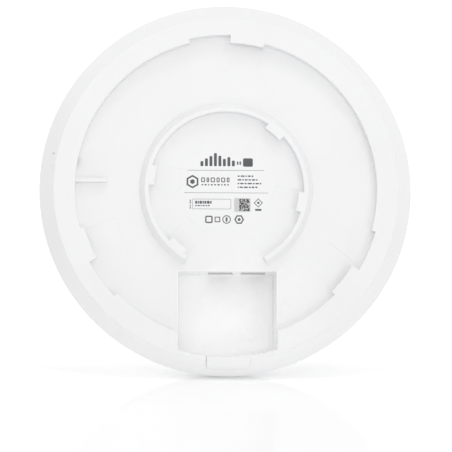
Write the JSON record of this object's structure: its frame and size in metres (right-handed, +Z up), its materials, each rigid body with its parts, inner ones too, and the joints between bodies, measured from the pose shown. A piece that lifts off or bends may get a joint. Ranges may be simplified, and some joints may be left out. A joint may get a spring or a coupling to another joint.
{
  "type": "ceiling access point",
  "caption": "Round white domed network access point with a bayonet recess, cable bay, sockets, reset button and cable door in its back.",
  "frame": {"origin": "centre of the back rim's plane, on the axis of the disc, where the bracket's bayonet is centred", "axes": "+Y through the disc from the back rim to the top of the dome, +Z up with the cable bay at the bottom as it hangs on a wall, +X to the right of someone facing the back"},
  "size_m": [0.22, 0.0481, 0.22],
  "materials": {
    "case_white": "fine satin moulded polycarbonate",
    "cover_white": "fine satin moulded polycarbonate",
    "light_guide": "milky clear acrylic",
    "board": "solder mask over glass epoxy",
    "chip": "moulded epoxy",
    "tin": "tinned steel sheet",
    "pad": "soft thermal silicone",
    "sink": "as cast, tumbled",
    "jack_metal": "nickel-plated sheet",
    "jack_plastic": "black glass-filled nylon",
    "contact_gold": "gold-plated bronze",
    "antenna_metal": "stamped tinned sheet",
    "natural_plastic": "natural nylon",
    "screw": "zinc-plated steel",
    "lead": "coax jacket",
    "ribbon": "polyimide film",
    "emitter": "phosphor-filled silicone",
    "ferrite": "ferrite",
    "can": "sleeved aluminium can",
    "sticker": "printed paper"
  },
  "bodies": {
    "access_point": {"back_case": "case_white", "front_cover": "cover_white", "light_ring": "light_guide", "main_board": "board", "light_board": "board", "processor": "chip", "memory_chips": "chip", "radio_chips": "chip", "ethernet_transformers": "chip", "reset_switch": "chip", "processor_shield": "tin", "low_band_shield": "tin", "high_band_shield": "tin", "antenna_sockets": "tin", "thermal_pads": "pad", "heat_sink": "sink", "main_jack_shield": "jack_metal", "second_jack_shield": "jack_metal", "main_jack_insert": "jack_plastic", "second_jack_insert": "jack_plastic", "jack_contacts": "contact_gold", "low_band_antennas": "antenna_metal", "high_band_antennas": "antenna_metal", "antenna_posts": "natural_plastic", "light_socket": "natural_plastic", "chassis_screws": "screw", "light_board_screws": "screw", "antenna_leads": "lead", "light_ribbon": "ribbon", "status_lights": "emitter", "power_transformer": "ferrite", "power_capacitors": "can", "code_sticker": "sticker"},
    "button": {"reset_button": "case_white", "switch_plunger": "natural_plastic"},
    "door": {"cable_door": "case_white"}
  },
  "joints": [
    {"name": "button_press", "type": "slide", "parent": "access_point", "child": "button", "axis": [0, 0, 1], "range_m": [0, 0.0005], "stiffness_N_per_m": 2000},
    {"name": "door_slide", "type": "slide", "parent": "access_point", "child": "door", "axis": [0, -1, 0], "range_m": [0, 0.02]}
  ]
}
